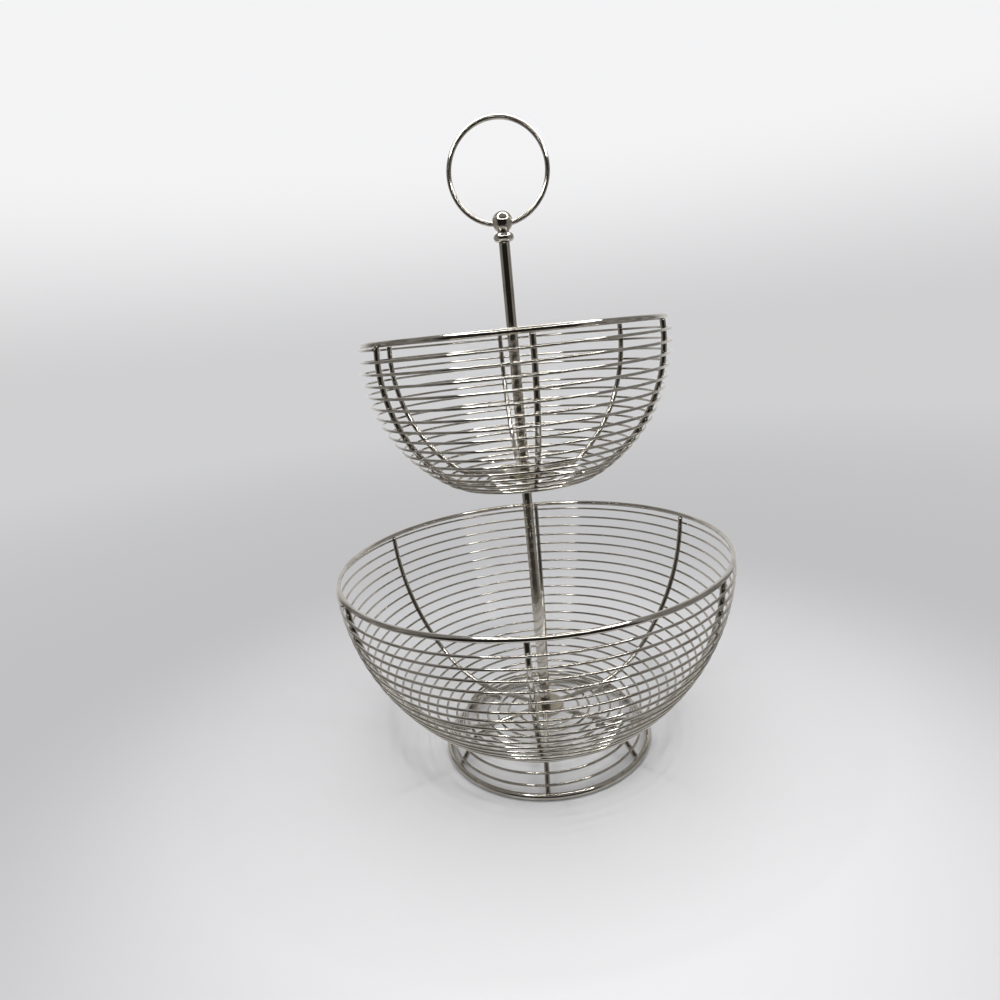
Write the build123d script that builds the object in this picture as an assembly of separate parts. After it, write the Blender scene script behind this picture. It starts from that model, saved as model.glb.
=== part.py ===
from build123d import *

import os
from collections import namedtuple
from math import acos, asin, atan2, cos, degrees, hypot, pi, radians, sin, sqrt, tan

# Two-tier basket of chromed steel wire on a central pole with a ring handle.
# Lengths are in millimetres and angles in degrees. +Z is up, the origin is on the
# table at the centre of the foot ring, and the front rib of the lower basket is on -Y.

# Wires
rim_wire_radius = 2.0
rib_wire_radius = 2.0
winding_wire_radius = 1.0
winding_wire_ovality = 0.99
foot_ring_wire_radius = 2.5
handle_wire_radius = 1.75
weld_gap = 0.1

# Ribs of each basket and of the foot, evenly spaced
ribs_per_ring = 6
front_rib_angle = -90.0
upper_basket_turn = 9.0

# Lower basket. Heights count from the winding under its floor. The outset is how far the
# ribs stand outside the rim, and the stretch how far the wall's arc outgrows its height
lower_rim_radius = 150.0
lower_rib_outset = -1.36
lower_depth = 137.6
lower_belly_height = 142.0
lower_wall_stretch = 23.0
lower_corner_radius = 90.0
lower_floor_height = 23.4
lower_winding_turns = 24
lower_winding_end_radius = 23.5

# Upper basket, given the same way
upper_rim_radius = 108.0
upper_rib_outset = -0.13
upper_depth = 108.7
upper_belly_height = 95.6
upper_wall_stretch = 11.2
upper_corner_radius = 25.3
tier_spacing = 199.2
upper_winding_turns = 20
upper_winding_end_radius = 22.0

# Foot, a short cone of six hooked ribs with a winding outside and a ring below
foot_ring_radius = 82.6
foot_land_depth = 0.3
foot_slope_angle = 53.4
foot_winding_top_gap = 2.25
foot_winding_whole_turns = 2
foot_winding_part_turn = 240.0
foot_hook_radius = 54.0
foot_hook_run = 8.0
foot_bend_radius = 5.0

# Hub discs and the pole through them
hub_radius = 15.0
hub_thickness = 4.4
pole_radius = 4.0
upper_pole_length = 164.1
running_play = 0.1
bore_clearance = 0.05
hub_edge_round = 0.4
pole_edge_round = 0.5

# Screwed joints: the spigot and cap nut below, the stud between the poles
spigot_radius = 3.0
washer_radius = 6.0
washer_thickness = 1.2
nut_across_flats = 10.0
nut_hex_height = 5.0
nut_dome_radius = 4.4
nut_total_height = 9.5
nut_edge_round = 0.4
spigot_end_gap = 0.6
stud_radius = 3.0
stud_depth = 14.0
drill_allowance = 1.5

# Finial: bead, ball, and the ring handle seated in the ball's sides
bead_radius = 7.35
bead_face_radius = 4.4
bead_height = 6.4
ball_radius = 7.4
neck_radius = 4.2
neck_height = 1.0
finial_stud_radius = 2.5
finial_stud_length = 12.0
handle_radius = 34.0
handle_drop = 1.7
handle_seat_depth = 2.8
handle_seat_clearance = 0.05

# One overrun serves all cuts
cut_overrun = 5.0

# Number of points on each turn that the gap measurement looks at
gap_points_per_turn = 24
arcs_per_turn = 4

Basket = namedtuple(
    "Basket",
    "rim_radius rib_outset rim_height belly_height wall_radius corner_radius "
    "floor_height turns end_radius first_rib_angle",
)
Profile = namedtuple(
    "Profile",
    "wall_x wall_z wall_radius join_angle corner_x corner_z corner_radius floor_z",
)

touch_wall = rib_wire_radius + winding_wire_radius + weld_gap
rib_step = 360.0 / ribs_per_ring

lower_basket = Basket(
    lower_rim_radius,
    lower_rib_outset,
    lower_floor_height + lower_depth,
    lower_floor_height + lower_belly_height,
    lower_belly_height + lower_wall_stretch,
    lower_corner_radius,
    lower_floor_height,
    lower_winding_turns,
    lower_winding_end_radius,
    front_rib_angle,
)
upper_floor_height = lower_floor_height + tier_spacing
upper_basket = Basket(
    upper_rim_radius,
    upper_rib_outset,
    upper_floor_height + upper_depth,
    upper_floor_height + upper_belly_height,
    upper_belly_height + upper_wall_stretch,
    upper_corner_radius,
    upper_floor_height,
    upper_winding_turns,
    upper_winding_end_radius,
    front_rib_angle + upper_basket_turn,
)


def basket_profile(basket, inset):
    """Wall arc, corner arc and flat floor, moved inwards from the winding by inset."""
    wall_z = basket.belly_height
    rib_wall_radius = basket.wall_radius - touch_wall
    rib_reach = sqrt(rib_wall_radius**2 - (basket.rim_height - wall_z) ** 2)
    wall_x = basket.rim_radius + basket.rib_outset - rib_reach
    wall_radius = basket.wall_radius - inset
    corner_radius = basket.corner_radius - inset
    floor_z = basket.floor_height + inset
    corner_z = floor_z + corner_radius
    reach = wall_radius - corner_radius
    corner_x = wall_x + sqrt(reach**2 - (wall_z - corner_z) ** 2)
    join_angle = atan2(corner_z - wall_z, corner_x - wall_x)
    return Profile(
        wall_x, wall_z, wall_radius, join_angle, corner_x, corner_z, corner_radius, floor_z
    )


def profile_lengths(profile):
    """Length along the wall below its belly, and along the wall and corner together."""
    wall = -profile.join_angle * profile.wall_radius
    corner = (profile.join_angle + pi / 2) * profile.corner_radius
    return wall, wall + corner


def profile_point(profile, run):
    """Radius, height and direction at a run along the profile, counted from its belly."""
    wall, wall_and_corner = profile_lengths(profile)
    if run <= wall:
        angle = -run / profile.wall_radius
        radius = profile.wall_x + profile.wall_radius * cos(angle)
        height = profile.wall_z + profile.wall_radius * sin(angle)
    elif run <= wall_and_corner:
        angle = profile.join_angle - (run - wall) / profile.corner_radius
        radius = profile.corner_x + profile.corner_radius * cos(angle)
        height = profile.corner_z + profile.corner_radius * sin(angle)
    else:
        angle = -pi / 2
        radius = profile.corner_x - (run - wall_and_corner)
        height = profile.floor_z
    return radius, height, sin(angle), -cos(angle)


def run_at_height(profile, height):
    """Run along the wall arc, from the belly, at which it has the given height."""
    return -asin((height - profile.wall_z) / profile.wall_radius) * profile.wall_radius


def run_at_radius(profile, radius):
    """Run along the floor, or the corner arc beyond it, at which it has the given radius."""
    wall, wall_and_corner = profile_lengths(profile)
    if radius < profile.corner_x:
        return wall_and_corner + profile.corner_x - radius
    angle = -acos((radius - profile.corner_x) / profile.corner_radius)
    return wall + (profile.join_angle - angle) * profile.corner_radius


def spiral_state(radius, height, radius_rate, height_rate, angle):
    """Point and unit direction of a line that winds clockwise as seen from above."""
    point = Vector(radius * cos(angle), radius * sin(angle), height)
    direction = Vector(
        radius_rate * cos(angle) + radius * sin(angle),
        radius_rate * sin(angle) - radius * cos(angle),
        height_rate,
    )
    return point, direction.normalized()


def biarc(start, start_direction, end, end_direction):
    """Two tangent arcs from start to end that keep both directions."""
    chord = end - start
    directions = start_direction + end_direction
    lean = 2 * (1 - start_direction.dot(end_direction))
    along = chord.dot(directions)
    arm = (sqrt(along**2 + lean * chord.dot(chord)) - along) / lean
    first_corner = start + start_direction * arm
    second_corner = end - end_direction * arm
    middle = (first_corner + second_corner) * 0.5
    middle_direction = (second_corner - first_corner).normalized()
    return [
        Edge.make_tangent_arc(start, start_direction, middle),
        Edge.make_tangent_arc(middle, middle_direction, end),
    ]


def wound_wire(name, states, wire_radius):
    """Sweep a wire, a trace oval from coiling, along biarcs through the states."""
    edges = []
    first_point, first_direction = states[0]
    last_point, last_direction = states[-1]
    straight = 2 * wire_radius
    edges.append(Edge.make_line(first_point - first_direction * straight, first_point))
    for here, there in zip(states, states[1:]):
        edges.extend(biarc(here[0], here[1], there[0], there[1]))
    edges.append(Edge.make_line(last_point, last_point + last_direction * straight))
    path = Wire(edges)
    oval = Ellipse(wire_radius, wire_radius * winding_wire_ovality)
    solid = sweep(Plane(origin=path @ 0, z_dir=path % 0) * oval, path=path)
    print_least_gap(name, path, len(states) / arcs_per_turn, wire_radius)
    return solid


def print_least_gap(name, path, turns, wire_radius):
    """Measure the clear space between neighbouring turns on points, and print it."""
    count = int(turns * gap_points_per_turn)
    points = [path @ (step / count) for step in range(count + 1)]
    skip = gap_points_per_turn // 3
    least = None
    for first in range(len(points)):
        for second in range(first + skip, len(points)):
            distance = (points[first] - points[second]).length
            if least is None or distance < least:
                least = distance
    print(f"{name}: least gap between turns {least - 2 * wire_radius:.2f} mm")


def basket_winding(name, basket):
    """The one long wire of a basket, wound outside its ribs from the rim to the hub."""
    profile = basket_profile(basket, 0)
    top = basket.rim_height - rim_wire_radius - winding_wire_radius - weld_gap
    first_run = run_at_height(profile, top)
    last_run = run_at_radius(profile, basket.end_radius)
    steps = basket.turns * arcs_per_turn
    run_per_radian = (last_run - first_run) / (basket.turns * 2 * pi)
    first_angle = radians(basket.first_rib_angle - rib_step)
    states = []
    for step in range(steps + 1):
        share = step / steps
        radius, height, radius_slope, height_slope = profile_point(
            profile, first_run + (last_run - first_run) * share
        )
        states.append(
            spiral_state(
                radius,
                height,
                radius_slope * run_per_radian,
                height_slope * run_per_radian,
                first_angle - 2 * pi * basket.turns * share,
            )
        )
    return wound_wire(name, states, winding_wire_radius)


def basket_rib(basket, number):
    """A rib bent from rim to hub: wall arc, corner arc and a straight run on the floor."""
    profile = basket_profile(basket, touch_wall)
    top_run = run_at_height(profile, basket.rim_height - rim_wire_radius - weld_gap)
    end_run = run_at_radius(profile, hub_radius + weld_gap)
    wall, wall_and_corner = profile_lengths(profile)
    bend_end = min(wall_and_corner, end_run)
    marks = [top_run, (top_run + wall) / 2, wall, (wall + bend_end) / 2, bend_end, end_run]
    points = []
    for run in marks:
        radius, height = profile_point(profile, run)[:2]
        points.append(Vector(radius, 0, height))
    edges = [
        Edge.make_three_point_arc(points[0], points[1], points[2]),
        Edge.make_three_point_arc(points[2], points[3], points[4]),
    ]
    if end_run > bend_end:
        edges.append(Edge.make_line(points[4], points[5]))
    path = Wire(edges)
    section = Plane(origin=path @ 0, z_dir=path % 0) * Circle(rib_wire_radius)
    rib = sweep(section, path=path)
    return Rot(0, 0, basket.first_rib_angle + number * rib_step) * rib


def rim_ring(basket):
    """The closed hoop of thicker wire round the mouth of a basket."""
    return Pos(0, 0, basket.rim_height) * Torus(basket.rim_radius, rim_wire_radius)


def hub_disc(basket, bore_radius):
    """The round plate that the ribs end on, centred on the height of the ribs."""
    middle = basket.floor_height + touch_wall
    disc = Cylinder(hub_radius, hub_thickness)
    disc = chamfer(disc.edges(), hub_edge_round)
    disc -= Cylinder(bore_radius, hub_thickness + cut_overrun)
    return Pos(0, 0, middle) * disc


def hub_faces(basket):
    """Heights of the underside and the top of a basket's hub disc."""
    middle = basket.floor_height + touch_wall
    return middle - hub_thickness / 2, middle + hub_thickness / 2


foot_ring_height = foot_ring_wire_radius - foot_land_depth
foot_up_x = -cos(radians(foot_slope_angle))
foot_up_z = sin(radians(foot_slope_angle))


def foot_point(up, inset):
    """Radius and height of a place on the foot's cone, up from its ring and inset."""
    radius = foot_ring_radius + foot_up_x * up - foot_up_z * inset
    height = foot_ring_height + foot_up_z * up + foot_up_x * inset
    return radius, height


def foot_ring():
    """The heavy ring that the basket stands on, with a narrow flat land below."""
    ring = Pos(0, 0, foot_ring_height) * Torus(foot_ring_radius, foot_ring_wire_radius)
    reach = foot_ring_radius + foot_ring_wire_radius + cut_overrun
    return ring - Pos(0, 0, -cut_overrun / 2) * Cylinder(reach, cut_overrun)


def foot_hook():
    """Lean and height of the hooks that touch the basket, and their corner up the cone."""
    underside = basket_profile(lower_basket, -touch_wall)
    outwards = max(0, foot_hook_radius - underside.corner_x)
    lean = asin(outwards / underside.corner_radius)
    height = underside.corner_z - underside.corner_radius * cos(lean)
    base_x, base_z = foot_point(0, touch_wall)
    rise = height + (base_x - foot_hook_radius) * tan(lean) - base_z
    return lean, height, rise / (foot_up_z - foot_up_x * tan(lean))


def foot_winding():
    """The wire wound round the foot's ribs, from under their hooks down to the ring."""
    turns = foot_winding_whole_turns + foot_winding_part_turn / 360
    last_up = foot_ring_wire_radius + winding_wire_radius + weld_gap
    first_up = foot_hook()[2] - foot_winding_top_gap
    last_angle = radians(front_rib_angle - 180)
    steps = round(turns * 3 * arcs_per_turn / 2)
    rate = (first_up - last_up) / (turns * 2 * pi)
    states = []
    for step in range(steps + 1):
        share = step / steps
        radius, height = foot_point(first_up + (last_up - first_up) * share, 0)
        angle = last_angle + 2 * pi * turns * (1 - share)
        states.append(
            spiral_state(radius, height, -foot_up_x * rate, -foot_up_z * rate, angle)
        )
    return wound_wire("foot_winding", states, winding_wire_radius)


def foot_rib(number):
    """A foot rib: up the cone from the ring, then hooked in below the basket's floor."""
    lean, hook_height, corner_up = foot_hook()
    clear = foot_ring_wire_radius + weld_gap
    low_up = sqrt(clear**2 - (touch_wall - rib_wire_radius) ** 2)
    low_x, low_z = foot_point(low_up, touch_wall)
    corner_x, corner_z = foot_point(corner_up, touch_wall)
    hook_x = foot_hook_radius - foot_hook_run * cos(lean)
    hook_z = hook_height - foot_hook_run * sin(lean)
    path = FilletPolyline(
        (low_x, 0, low_z),
        (corner_x, 0, corner_z),
        (hook_x, 0, hook_z),
        radius=foot_bend_radius,
    )
    section = Plane(origin=path @ 0, z_dir=path % 0) * Circle(rib_wire_radius)
    rib = sweep(section, path=path)
    return Rot(0, 0, front_rib_angle + number * rib_step) * rib


def rounded_rod(radius, low, high, edge):
    """A round rod from low to high with both ends broken by a small chamfer."""
    rod = Pos(0, 0, (low + high) / 2) * Cylinder(radius, high - low)
    return chamfer(rod.edges().filter_by(GeomType.CIRCLE), edge)


def lower_pole():
    """The pole between the hubs, with a spigot for the cap nut and a hole for the stud."""
    low = hub_faces(lower_basket)[1]
    high = hub_faces(upper_basket)[0]
    pole = rounded_rod(pole_radius, low, high, pole_edge_round)
    spigot_low = low - hub_thickness - washer_thickness - nut_total_height
    spigot_low += nut_dome_radius / 2 + spigot_end_gap
    pole += Pos(0, 0, (spigot_low + low) / 2) * Cylinder(spigot_radius, low - spigot_low)
    hole_low = high - stud_depth - drill_allowance
    hole_high = high + cut_overrun
    hole = Cylinder(stud_radius + bore_clearance, hole_high - hole_low)
    return pole - Pos(0, 0, (hole_low + hole_high) / 2) * hole


def upper_pole():
    """The pole above the upper hub, drilled at both ends for the two studs."""
    low = hub_faces(upper_basket)[1] + running_play
    high = low + upper_pole_length
    pole = rounded_rod(pole_radius, low, high, pole_edge_round)
    low_hole_top = low + stud_depth + drill_allowance
    low_hole_bottom = low - cut_overrun
    low_hole = Cylinder(stud_radius + bore_clearance, low_hole_top - low_hole_bottom)
    pole -= Pos(0, 0, (low_hole_top + low_hole_bottom) / 2) * low_hole
    high_hole_bottom = high - finial_stud_length - drill_allowance
    high_hole_top = high + cut_overrun
    high_hole = Cylinder(finial_stud_radius + bore_clearance, high_hole_top - high_hole_bottom)
    return pole - Pos(0, 0, (high_hole_top + high_hole_bottom) / 2) * high_hole


def joining_stud():
    """The stud that passes the upper hub and holds the two poles together."""
    low = hub_faces(upper_basket)[0] - stud_depth
    high = hub_faces(upper_basket)[1] + running_play + stud_depth
    return rounded_rod(stud_radius, low, high, pole_edge_round)


def base_washer():
    """The plain washer between the lower hub and its cap nut."""
    top = hub_faces(lower_basket)[0]
    washer = Cylinder(washer_radius, washer_thickness)
    washer -= Cylinder(spigot_radius + bore_clearance, washer_thickness + cut_overrun)
    return Pos(0, 0, top - washer_thickness / 2) * washer


def base_cap_nut():
    """The domed nut below the floor: a hexagon, a round dome and a blind bore."""
    top = hub_faces(lower_basket)[0] - washer_thickness
    hexagon = extrude(RegularPolygon(nut_across_flats / 2, 6, major_radius=False), nut_hex_height)
    hexagon = chamfer(hexagon.edges().group_by(Axis.Z)[-1], nut_edge_round)
    dome_height = nut_total_height - nut_dome_radius
    dome = Cylinder(nut_dome_radius, dome_height, align=(Align.CENTER, Align.CENTER, Align.MIN))
    dome += Pos(0, 0, dome_height) * Sphere(nut_dome_radius)
    nut = hexagon + dome
    bore_depth = nut_total_height - nut_dome_radius / 2
    bore = Cylinder(
        spigot_radius + bore_clearance,
        bore_depth + cut_overrun,
        align=(Align.CENTER, Align.CENTER, Align.MAX),
    )
    nut -= Pos(0, 0, bore_depth) * bore
    return Pos(0, 0, top) * Rot(180, 0, 0) * nut


pole_top = hub_faces(upper_basket)[1] + running_play + upper_pole_length
bead_top = pole_top + bead_height
ball_height = bead_top + neck_height + sqrt(ball_radius**2 - neck_radius**2)
handle_height = ball_height - handle_drop + handle_radius


def collar_bead():
    """The round bead between the pole and the ball."""
    with BuildSketch(Plane.XZ) as half:
        with BuildLine():
            Polyline((bead_face_radius, bead_height), (0, bead_height), (0, 0), (bead_face_radius, 0))
            ThreePointArc(
                (bead_face_radius, 0), (bead_radius, bead_height / 2), (bead_face_radius, bead_height)
            )
        make_face()
    bead = revolve(half.sketch, Axis.Z)
    bead -= Cylinder(finial_stud_radius + bore_clearance, 2 * bead_height + cut_overrun)
    return Pos(0, 0, pole_top) * bead


def handle_arc(wire_radius, seat_depth):
    """The handle wire: an arc of its circle that stops inside both sides of the ball."""
    seat_x = ball_radius - seat_depth
    half_gap = degrees(asin(seat_x / handle_radius))
    path = CenterArc((0, 0), handle_radius, half_gap - 90, 360 - 2 * half_gap)
    path = Plane(origin=(0, 0, handle_height), x_dir=(1, 0, 0), z_dir=(0, -1, 0)) * path
    section = Plane(origin=path @ 0, z_dir=path % 0) * Circle(wire_radius)
    return sweep(section, path=path)


def finial_ball():
    """The turned ball with its neck and stud, and a seat for the handle in each side."""
    ball = Pos(0, 0, ball_height) * Sphere(ball_radius)
    ball += Pos(0, 0, (bead_top + ball_height) / 2) * Cylinder(neck_radius, ball_height - bead_top)
    stud_low = pole_top - finial_stud_length
    ball += Pos(0, 0, (stud_low + ball_height) / 2) * Cylinder(
        finial_stud_radius, ball_height - stud_low
    )
    return ball - handle_arc(handle_wire_radius + handle_seat_clearance, handle_seat_depth)


def ring_handle():
    """The ring handle, with both ends seated in the sides of the ball."""
    return handle_arc(handle_wire_radius, handle_seat_depth - handle_seat_clearance)


def build_nodes():
    """Every separate piece by name, from the table up."""
    spigot_bore = spigot_radius + bore_clearance
    stud_bore = stud_radius + bore_clearance
    nodes = {"foot_ring": foot_ring(), "foot_winding": foot_winding()}
    for number in range(ribs_per_ring):
        nodes[f"foot_rib_{number + 1}"] = foot_rib(number)
    nodes["lower_hub_disc"] = hub_disc(lower_basket, spigot_bore)
    for number in range(ribs_per_ring):
        nodes[f"lower_rib_{number + 1}"] = basket_rib(lower_basket, number)
    nodes["lower_winding"] = basket_winding("lower_winding", lower_basket)
    nodes["lower_rim"] = rim_ring(lower_basket)
    nodes["base_washer"] = base_washer()
    nodes["base_cap_nut"] = base_cap_nut()
    nodes["lower_pole"] = lower_pole()
    nodes["joining_stud"] = joining_stud()
    nodes["upper_hub_disc"] = hub_disc(upper_basket, stud_bore)
    for number in range(ribs_per_ring):
        nodes[f"upper_rib_{number + 1}"] = basket_rib(upper_basket, number)
    nodes["upper_winding"] = basket_winding("upper_winding", upper_basket)
    nodes["upper_rim"] = rim_ring(upper_basket)
    nodes["upper_pole"] = upper_pole()
    nodes["collar_bead"] = collar_bead()
    nodes["finial_ball"] = finial_ball()
    nodes["ring_handle"] = ring_handle()
    return nodes


os.makedirs("parts", exist_ok=True)
for node_name, solid in build_nodes().items():
    solid.label = node_name
    export_step(solid, f"parts/{node_name}.step")
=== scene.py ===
import logging
from abc import ABC, abstractmethod
from dataclasses import dataclass
from enum import Enum
from math import asin, atan2, cos, hypot, pi, radians, sin, sqrt, tan

import bpy
import numpy as np
from mathutils import Matrix, Vector


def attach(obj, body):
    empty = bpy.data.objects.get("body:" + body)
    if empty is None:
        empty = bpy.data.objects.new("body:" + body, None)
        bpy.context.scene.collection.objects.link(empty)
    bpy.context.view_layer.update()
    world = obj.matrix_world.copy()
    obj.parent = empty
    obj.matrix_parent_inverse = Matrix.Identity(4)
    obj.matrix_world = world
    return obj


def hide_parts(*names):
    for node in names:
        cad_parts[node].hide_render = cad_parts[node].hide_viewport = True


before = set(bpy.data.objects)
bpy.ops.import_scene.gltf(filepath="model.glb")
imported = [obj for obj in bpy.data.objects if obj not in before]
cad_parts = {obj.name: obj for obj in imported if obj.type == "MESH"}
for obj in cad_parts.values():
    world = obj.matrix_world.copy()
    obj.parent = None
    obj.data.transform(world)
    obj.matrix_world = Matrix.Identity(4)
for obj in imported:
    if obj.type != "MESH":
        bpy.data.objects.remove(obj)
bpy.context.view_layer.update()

# The looks of a two-tier basket of chromed wire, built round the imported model.
# Every size is in metres and every place is in the model's own frame.

log = logging.getLogger("wire_basket")
MM = 0.001
UV_NAME = "along_and_round"
AXIS_RADIUS = 1e-7

Pair = tuple[float, float]
Triple = tuple[float, float, float]
Socket = bpy.types.NodeSocket
Value = Socket | float | Triple
Outputs = bpy.types.bpy_prop_collection


class Body(Enum):
    """The two rigid bodies of the model."""

    STAND = "stand_and_lower_basket"
    UPPER = "upper_basket"


class Slot(Enum):
    """The record's material slots that the new pieces stand for."""

    FOOT = "foot_wire"
    WINDING = "winding_wire"
    RIB = "rib_wire"
    RIM = "rim_wire"
    HUB = "hub_plate"
    POLE = "pole"
    FINIAL = "finial"
    HANDLE = "handle_wire"


class Facets:
    """Number of faces round each kind of piece."""

    WINDING = 12
    RIB = 16
    RIM = 20
    HANDLE = 24
    FOOT_RING = 28
    POLE = 72
    FINIAL = 80
    HUB = 96
    FLOOR = 96


@dataclass(frozen=True)
class WireGauges:
    """Radii of the wires, the gap at each weld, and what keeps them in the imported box."""

    rim: float = 2.0 * MM
    rib: float = 2.0 * MM
    winding: float = 1.0 * MM
    foot_ring: float = 2.5 * MM
    handle: float = 1.75 * MM
    weld_gap: float = 0.1 * MM
    trim: float = 0.025 * MM

    @property
    def winding_to_rib(self) -> float:
        """Distance between the centre lines of a winding and the ribs inside it."""
        return self.winding + self.rib + self.weld_gap

    @property
    def weld_middle(self) -> float:
        """Distance from a winding's centre line to the middle of its weld gap."""
        return self.winding + self.weld_gap / 2


@dataclass(frozen=True)
class Meridian:
    """A bowl's profile, followed by the distance run along it down from the belly."""

    wall_x: float
    wall_z: float
    wall: float
    join: float
    corner_x: float
    corner_z: float
    corner: float
    floor: float

    @property
    def wall_run(self) -> float:
        """Length of the wall arc below the belly."""
        return -self.join * self.wall

    @property
    def curved_run(self) -> float:
        """Length of the wall arc below the belly and of the corner arc."""
        return self.wall_run + (self.join + pi / 2) * self.corner

    def run_at(self, height: float) -> float:
        """The run at which the wall arc has a height."""
        return -asin((height - self.wall_z) / self.wall) * self.wall

    def run_to(self, radius: float) -> float:
        """The run at which the floor has a radius."""
        return self.curved_run + self.corner_x - radius

    def at(self, run: float) -> tuple[Pair, Pair]:
        """A place on the profile, and the way that the bowl faces there.

        Args:
            run: Distance along the profile, down from the belly.

        Returns:
            Its radius and height, and the radial and upward parts of its outward normal.
        """
        if run > self.curved_run:
            return (self.corner_x - (run - self.curved_run), self.floor), (0.0, -1.0)
        if run > self.wall_run:
            angle = self.join - (run - self.wall_run) / self.corner
            x, z, radius = self.corner_x, self.corner_z, self.corner
        else:
            angle = -run / self.wall
            x, z, radius = self.wall_x, self.wall_z, self.wall
        return (x + radius * cos(angle), z + radius * sin(angle)), (cos(angle), sin(angle))


@dataclass(frozen=True)
class BowlShape:
    """A bowl's sizes on the centre line of its winding, from rim to hub."""

    rim_radius: float
    rim_height: float
    belly_radius: float
    belly_height: float
    wall_radius: float
    corner_radius: float
    floor_height: float
    turns: int
    end_radius: float
    first_rib_angle: float

    def meridian(self, inset: float) -> Meridian:
        """The bowl's profile, moved inwards.

        Args:
            inset: Distance inwards from the winding's centre line.

        Returns:
            The profile as wall arc, corner arc and flat floor.
        """
        wall_x = self.belly_radius - self.wall_radius
        wall = self.wall_radius - inset
        corner = self.corner_radius - inset
        floor = self.floor_height + inset
        corner_z = floor + corner
        corner_x = wall_x + sqrt((wall - corner) ** 2 - (self.belly_height - corner_z) ** 2)
        join = atan2(corner_z - self.belly_height, corner_x - wall_x)
        return Meridian(wall_x, self.belly_height, wall, join, corner_x, corner_z, corner, floor)


class Layout:
    """Outlines and places that more than one piece is made from."""

    hoop_points = 240

    @staticmethod
    def around(angle: float, radius: float, height: float) -> Triple:
        """The place at an angle round the pole, a radius and a height."""
        return radius * cos(angle), radius * sin(angle), height

    @staticmethod
    def arc(centre: Pair, radius: float, angles: np.ndarray) -> list[Pair]:
        """The places at some angles of a circle in an outline."""
        return [(centre[0] + radius * cos(angle), centre[1] + radius * sin(angle)) for angle in angles]

    @classmethod
    def hoop(cls, radius: float, height: float) -> np.ndarray:
        """Points of a level circle round the pole."""
        turns = np.linspace(0, 2 * pi, cls.hoop_points, endpoint=False)
        return np.array([cls.around(turn, radius, height) for turn in turns])

    @classmethod
    def bead(cls, angle: float, place: Pair, facing: Pair, depth: float = 0.0) -> Matrix:
        """Where a weld bead goes: its X runs round the pole and its Z across the weld.

        Args:
            angle: The bead's direction from the pole.
            place: A radius and a height.
            facing: The radial and upward parts of the direction across the weld.
            depth: How far behind the place the bead's centre is.

        Returns:
            The placing.
        """
        along = Vector((-sin(angle), cos(angle), 0))
        normal = Vector(cls.around(angle, *facing))
        placed = Matrix((along, normal.cross(along).normalized(), normal)).transposed().to_4x4()
        placed.translation = Vector(cls.around(angle, *place)) - normal * depth
        return placed


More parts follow.
